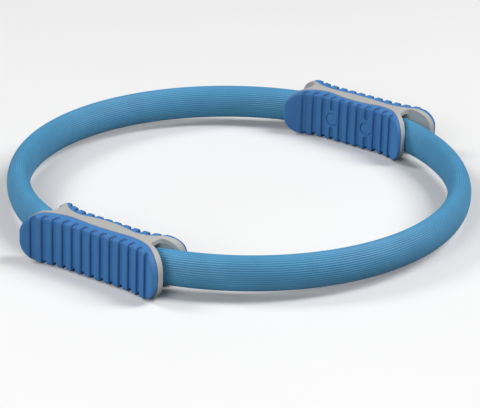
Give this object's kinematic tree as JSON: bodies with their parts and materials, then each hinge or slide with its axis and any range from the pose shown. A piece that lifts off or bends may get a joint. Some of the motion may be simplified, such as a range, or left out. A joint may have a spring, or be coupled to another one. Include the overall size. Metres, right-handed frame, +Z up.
{
  "type": "pilates ring",
  "caption": "Flat sprung exercise ring: a ribbed oval hoop with padded hourglass grips opposite each other, squeezed together or pressed apart against the hoop's spring.",
  "frame": {"origin": "under the middle of the hoop, on the surface that the ring lies on", "axes": "+X through the middle of the right grip, +Y to the back half of the hoop, +Z up"},
  "size_m": [0.389, 0.3708, 0.04],
  "materials": {
    "sleeve": "extruded soft rubber, satin, with fine lengthwise ribs",
    "pad": "moulded rubber, matt, with cross ribs",
    "plug": "moulded rubber, matt",
    "shell": "moulded plastic, fine matt grain",
    "strip": "pultruded glass-fibre strip",
    "screw": "zinc-plated steel",
    "insert": "turned brass"
  },
  "bodies": {
    "hoop": {"front_core": "strip", "back_core": "strip", "front_sleeve": "sleeve", "back_sleeve": "sleeve"},
    "left_grip": {"left_outer_shell": "shell", "left_inner_shell": "shell", "left_outer_pad": "pad", "left_inner_pad": "pad", "left_front_screw": "screw", "left_back_screw": "screw", "left_front_insert": "insert", "left_back_insert": "insert", "left_front_plug": "plug", "left_back_plug": "plug"},
    "right_grip": {"right_outer_shell": "shell", "right_inner_shell": "shell", "right_outer_pad": "pad", "right_inner_pad": "pad", "right_front_screw": "screw", "right_back_screw": "screw", "right_front_insert": "insert", "right_back_insert": "insert", "right_front_plug": "plug", "right_back_plug": "plug"}
  },
  "joints": [
    {"name": "left_squeeze", "type": "slide", "parent": "hoop", "child": "left_grip", "axis": [1, 0, 0], "range_m": [-0.012, 0.035], "stiffness_N_per_m": 3900, "deforming": ["front_core", "back_core", "front_sleeve", "back_sleeve"]},
    {"name": "right_squeeze", "type": "slide", "parent": "hoop", "child": "right_grip", "axis": [-1, 0, 0], "range_m": [-0.012, 0.035], "stiffness_N_per_m": 3900, "deforming": ["front_core", "back_core", "front_sleeve", "back_sleeve"]}
  ],
  "couplings": [
    {"joint": "right_squeeze", "follows": "left_squeeze", "ratio": 1}
  ]
}
